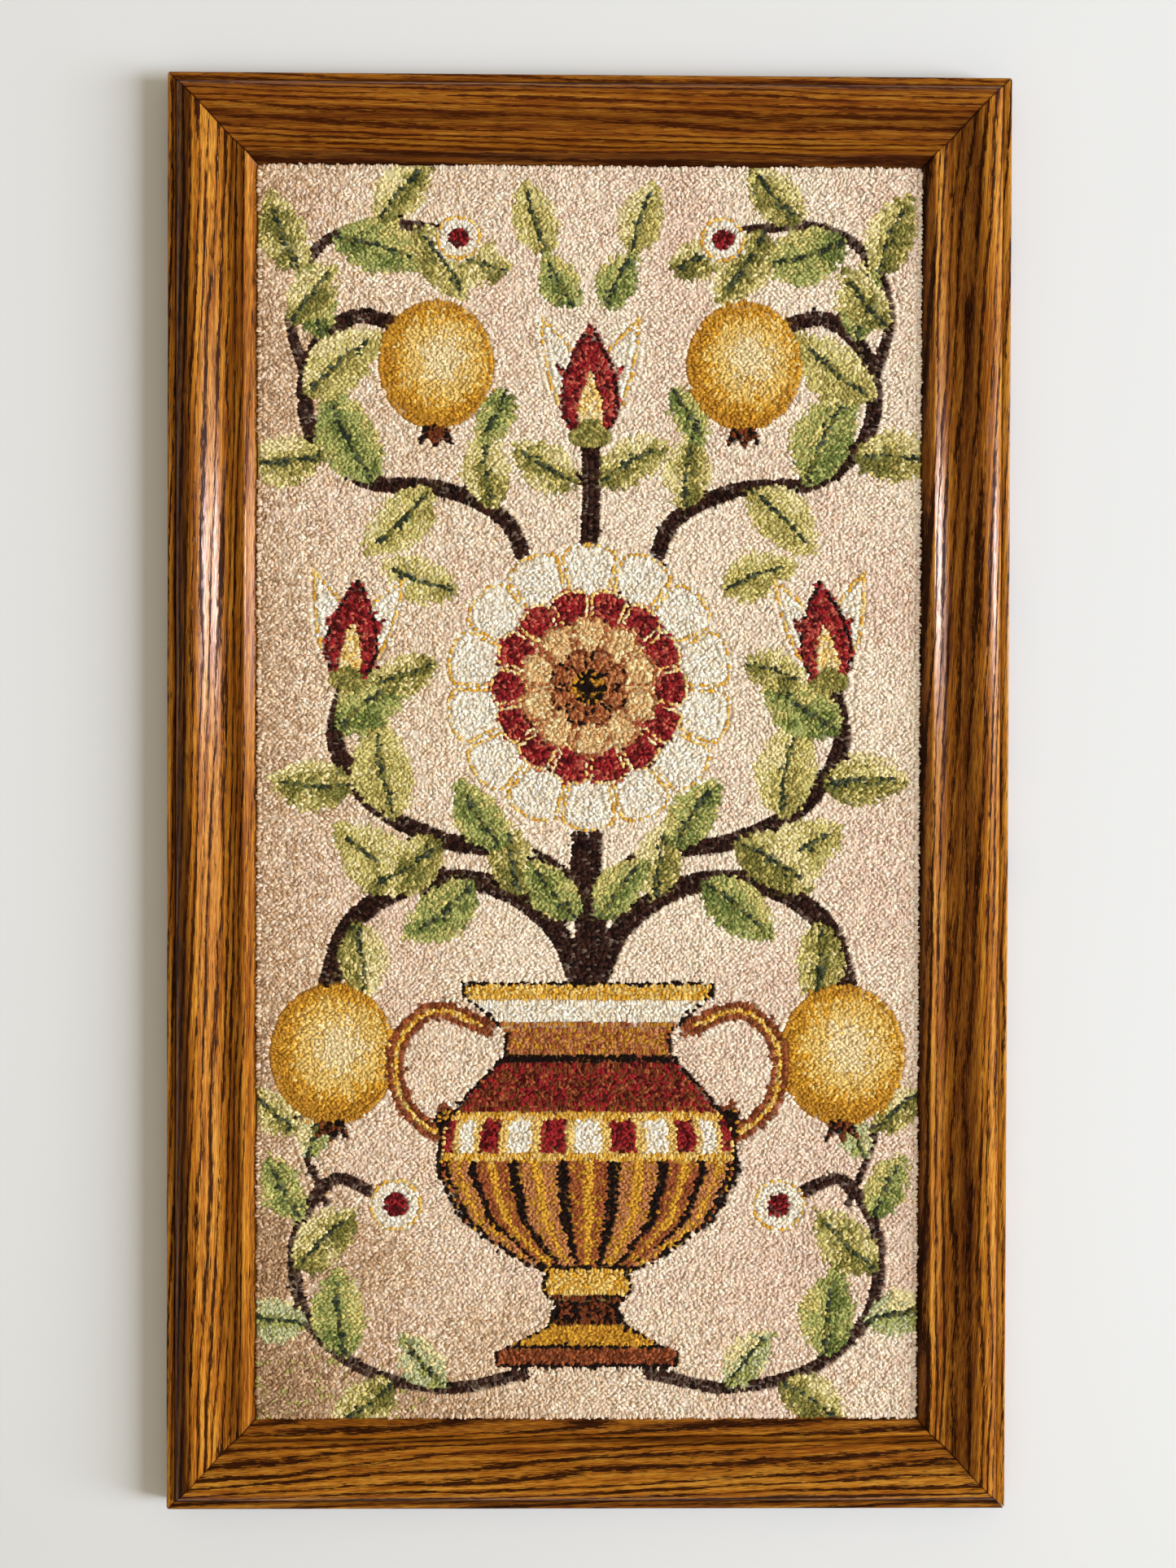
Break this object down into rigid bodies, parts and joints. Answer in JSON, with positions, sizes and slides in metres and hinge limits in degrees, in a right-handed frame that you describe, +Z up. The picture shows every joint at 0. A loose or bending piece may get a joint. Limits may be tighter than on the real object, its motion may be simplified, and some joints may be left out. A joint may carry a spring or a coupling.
{
  "type": "framed hooked rug",
  "caption": "Upright hooked wool rug held flat in a mitred, scooped oak frame that hangs against a wall.",
  "frame": {"origin": "middle of the top rail's flat back face, in the plane that lies against the wall", "axes": "+X to the viewer's right, +Y into the wall, +Z up; the front faces -Y"},
  "size_m": [0.61, 0.028, 1.04],
  "materials": {
    "oak": "stained open-grained oak under glossy varnish",
    "yarn": "matt wool loop pile in many colours on a plain woven foundation cloth"
  },
  "bodies": {
    "root": {"rail_top": "oak", "rail_bottom": "oak", "rail_left": "oak", "rail_right": "oak", "rug": "yarn"}
  },
  "joints": []
}
